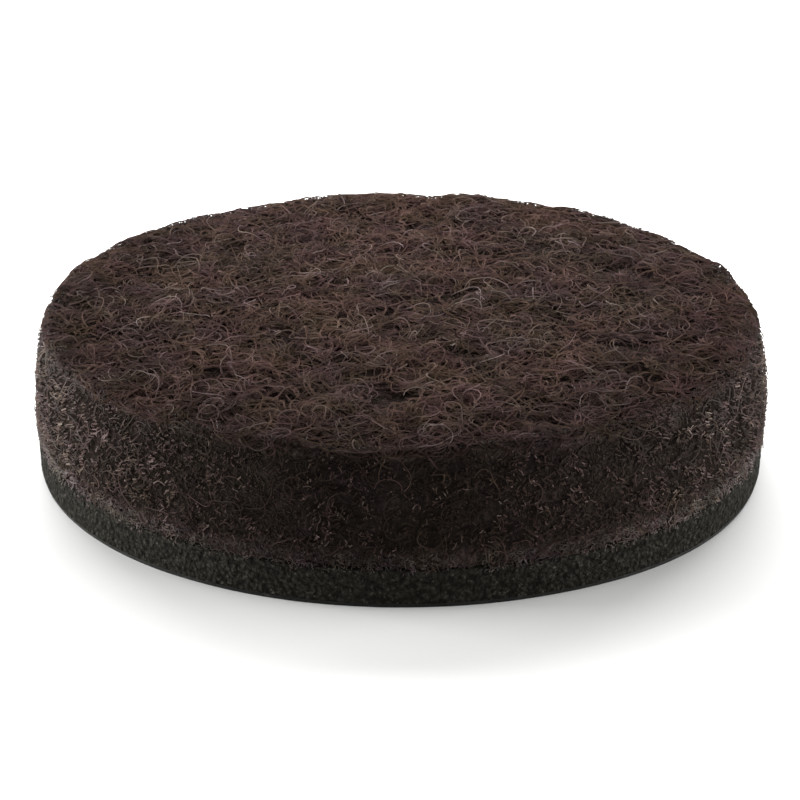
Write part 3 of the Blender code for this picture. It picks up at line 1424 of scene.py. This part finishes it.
@dataclass(frozen=True)
class SoftBox:
    """One soft box: its middle, its width and height in metres, and its power in watts."""

    name: str
    place: Point
    size: Span
    power: float

    def hang(self) -> None:
        """Hangs the box so that it faces the pad."""
        data = bpy.data.lights.new(self.name, "AREA")
        data.shape = "RECTANGLE"
        data.size, data.size_y = self.size
        data.energy = self.power
        lamp = bpy.data.objects.new(self.name, data)
        lamp.location = self.place
        lamp.rotation_euler = (-Vector(self.place)).to_track_quat("-Z", "Y").to_euler()
        bpy.context.scene.collection.objects.link(lamp)


SIDE_BOX: Span = (0.18, 0.10)
BOXES = (
    SoftBox("key", (0.0, 0.060, 0.050), (0.11, 0.05), 0.153),
    SoftBox("low_key", (0.0, 0.045, 0.028), (0.10, 0.03), 0.020),
    SoftBox("overhead", (0.0, 0.03, 0.42), (0.45, 0.30), 0.37),
    SoftBox("left_strip", (-0.37, 0.05, 0.06), SIDE_BOX, 2.40),
    SoftBox("left_front", (-0.35, -0.10, 0.06), SIDE_BOX, 0.65),
    SoftBox("left_back", (-0.33, 0.20, 0.10), SIDE_BOX, 0.70),
    SoftBox("right_strip", (0.37, 0.06, 0.06), SIDE_BOX, 1.28),
    SoftBox("right_front", (0.35, -0.10, 0.06), SIDE_BOX, 1.1),
)


@dataclass(frozen=True)
class Studio:
    """A pale floor under soft boxes, and a camera placed by the photograph's perspective."""

    floor_half: float = 0.6
    floor_colour: Colour = (0.90, 0.90, 0.89)
    floor_roughness: float = 0.9
    floor_specular: float = 0.2
    ambient: float = 0.12
    ambient_colour: Colour = (1.0, 1.0, 1.0)
    distance: float = 0.11575  # camera to the middle of the pad's base
    elevation: float = math.radians(23.6)
    focal_pixels: float = 3328.0
    picture_pixels: float = 800.0
    sensor: float = 36.0  # millimetres, as a camera takes it
    clip: Span = (0.01, 5.0)
    aim: Point = (-0.01 * MM, 0.0, 1.87 * MM)

    def floor(self) -> None:
        """Lays the floor at the pad's foot."""
        half = self.floor_half
        corners = np.array([[-half, -half, 0], [half, -half, 0], [half, half, 0], [-half, half, 0]])
        mesh = mesh_of("floor", corners, np.array([[0, 1, 2, 3]]), NO_TRIANGLES)
        material, sheet, shader = start_material("floor", self.floor_roughness, self.floor_specular)
        sheet.feed(shader, Base_Color=self.floor_colour)
        mesh.materials.append(material)
        floor = bpy.data.objects.new("floor", mesh)
        bpy.context.scene.collection.objects.link(floor)

    def lights(self) -> None:
        """Two soft boxes close behind, a weak one overhead, strips to the left and right, and a dim sky."""
        for box in BOXES:
            box.hang()
        world = bpy.data.worlds.new("studio")
        world.use_nodes = True
        sky = world.node_tree.nodes["Background"]
        Sheet(world.node_tree).feed(sky, Color=self.ambient_colour, Strength=self.ambient)
        bpy.context.scene.world = world

    def camera(self) -> None:
        """Sets the camera, whose focal length in pixels gives its lens for the sensor."""
        data = bpy.data.cameras.new("camera")
        data.sensor_width = self.sensor
        data.lens = self.focal_pixels / self.picture_pixels * self.sensor
        data.clip_start, data.clip_end = self.clip
        camera = bpy.data.objects.new("camera", data)
        place = Vector((0, -math.cos(self.elevation), math.sin(self.elevation))) * self.distance
        camera.location = place
        camera.rotation_euler = (Vector(self.aim) - place).to_track_quat("-Z", "Y").to_euler()
        bpy.context.scene.collection.objects.link(camera)
        bpy.context.scene.camera = camera

    def build(self) -> None:
        """Sets the whole stage."""
        self.floor()
        self.lights()
        self.camera()
        bpy.context.scene.view_settings.view_transform = "Standard"


def main() -> None:
    """Builds the pad's layers and the stage, in order, while add_piece reports each piece."""
    logging.basicConfig(level=logging.INFO, format="%(name)s: %(message)s")
    effects = Effects()
    FeltDisc(effects).build()
    FoamBacking(effects).build()
    AdhesiveFilm(effects).build()
    Studio().build()


if __name__ == "__main__":
    main()
